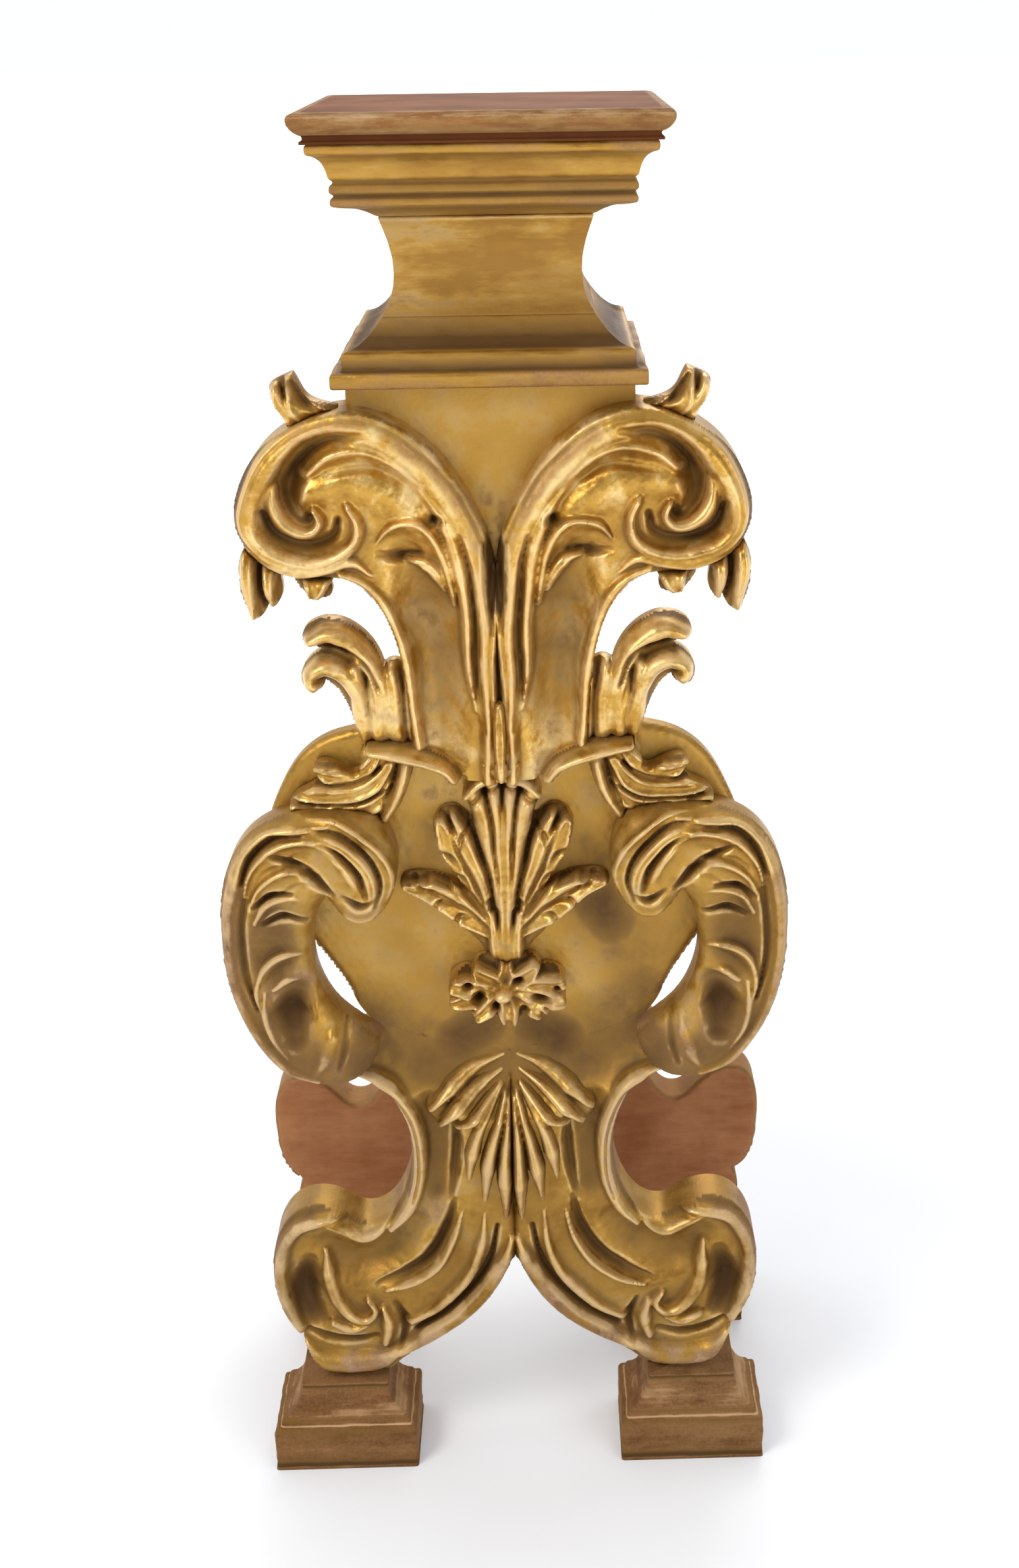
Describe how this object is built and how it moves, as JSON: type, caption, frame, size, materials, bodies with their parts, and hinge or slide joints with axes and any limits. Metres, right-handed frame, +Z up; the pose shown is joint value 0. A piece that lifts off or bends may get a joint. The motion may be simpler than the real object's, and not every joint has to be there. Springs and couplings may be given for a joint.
{
  "type": "sculpture stand",
  "caption": "Carved gilt wood stand with a square moulded top for a sculpture, scrolled volutes, arms and legs, a smooth heart-shaped panel and moulded feet.",
  "frame": {"origin": "on the floor, midway between the four feet and below the middle of the top", "axes": "+Z up, +X to the viewer's right, +Y to the rear; the carved front faces -Y"},
  "size_m": [0.5024, 0.298, 1.25],
  "materials": {
    "gilt": "aged water gilding over red bole",
    "worn_gilt": "worn gilding",
    "side_gilt": "thin worn gilding",
    "painted_top": "red-brown paint, gilt edge",
    "red_paint": "matt red-brown paint",
    "back_wood": "stained, unfinished",
    "bare_wood": "bare",
    "iron": "forged"
  },
  "bodies": {
    "root": {"arm_left": "gilt", "arm_right": "gilt", "back_panel": "back_wood", "base_block": "bare_wood", "base_dowels": "bare_wood", "base_moulding_front": "gilt", "base_moulding_left": "gilt", "base_moulding_rear": "gilt", "base_moulding_right": "gilt", "calyx": "gilt", "cartouche": "gilt", "clasp_left": "gilt", "clasp_right": "gilt", "core_pegs": "bare_wood", "core_plank_front": "side_gilt", "core_plank_middle": "side_gilt", "core_plank_rear": "side_gilt", "cornice_block": "bare_wood", "cornice_front": "gilt", "cornice_left": "gilt", "cornice_rear": "gilt", "cornice_right": "gilt", "curl_left": "gilt", "curl_right": "gilt", "foot_front_left": "worn_gilt", "foot_front_right": "worn_gilt", "foot_rear_left": "worn_gilt", "foot_rear_right": "worn_gilt", "foot_tenons": "bare_wood", "husk_left": "gilt", "husk_right": "gilt", "leg_front_left": "gilt", "leg_front_right": "gilt", "leg_leaf_left": "gilt", "leg_leaf_right": "gilt", "leg_pegs_front": "bare_wood", "leg_pegs_rear": "bare_wood", "leg_rear_left": "red_paint", "leg_rear_right": "red_paint", "neck_dowels": "bare_wood", "neck_front": "gilt", "neck_left": "gilt", "neck_post": "bare_wood", "neck_rear": "gilt", "neck_right": "gilt", "ornament_nails": "iron", "palmette": "gilt", "rosette": "gilt", "shoulder_leaf_left": "gilt", "shoulder_leaf_right": "gilt", "shoulder_panel": "gilt", "tip_leaf_left": "gilt", "tip_leaf_right": "gilt", "top_board": "painted_top", "top_dowels": "bare_wood", "volute_left": "gilt", "volute_pegs": "bare_wood", "volute_right": "gilt"}
  },
  "joints": []
}
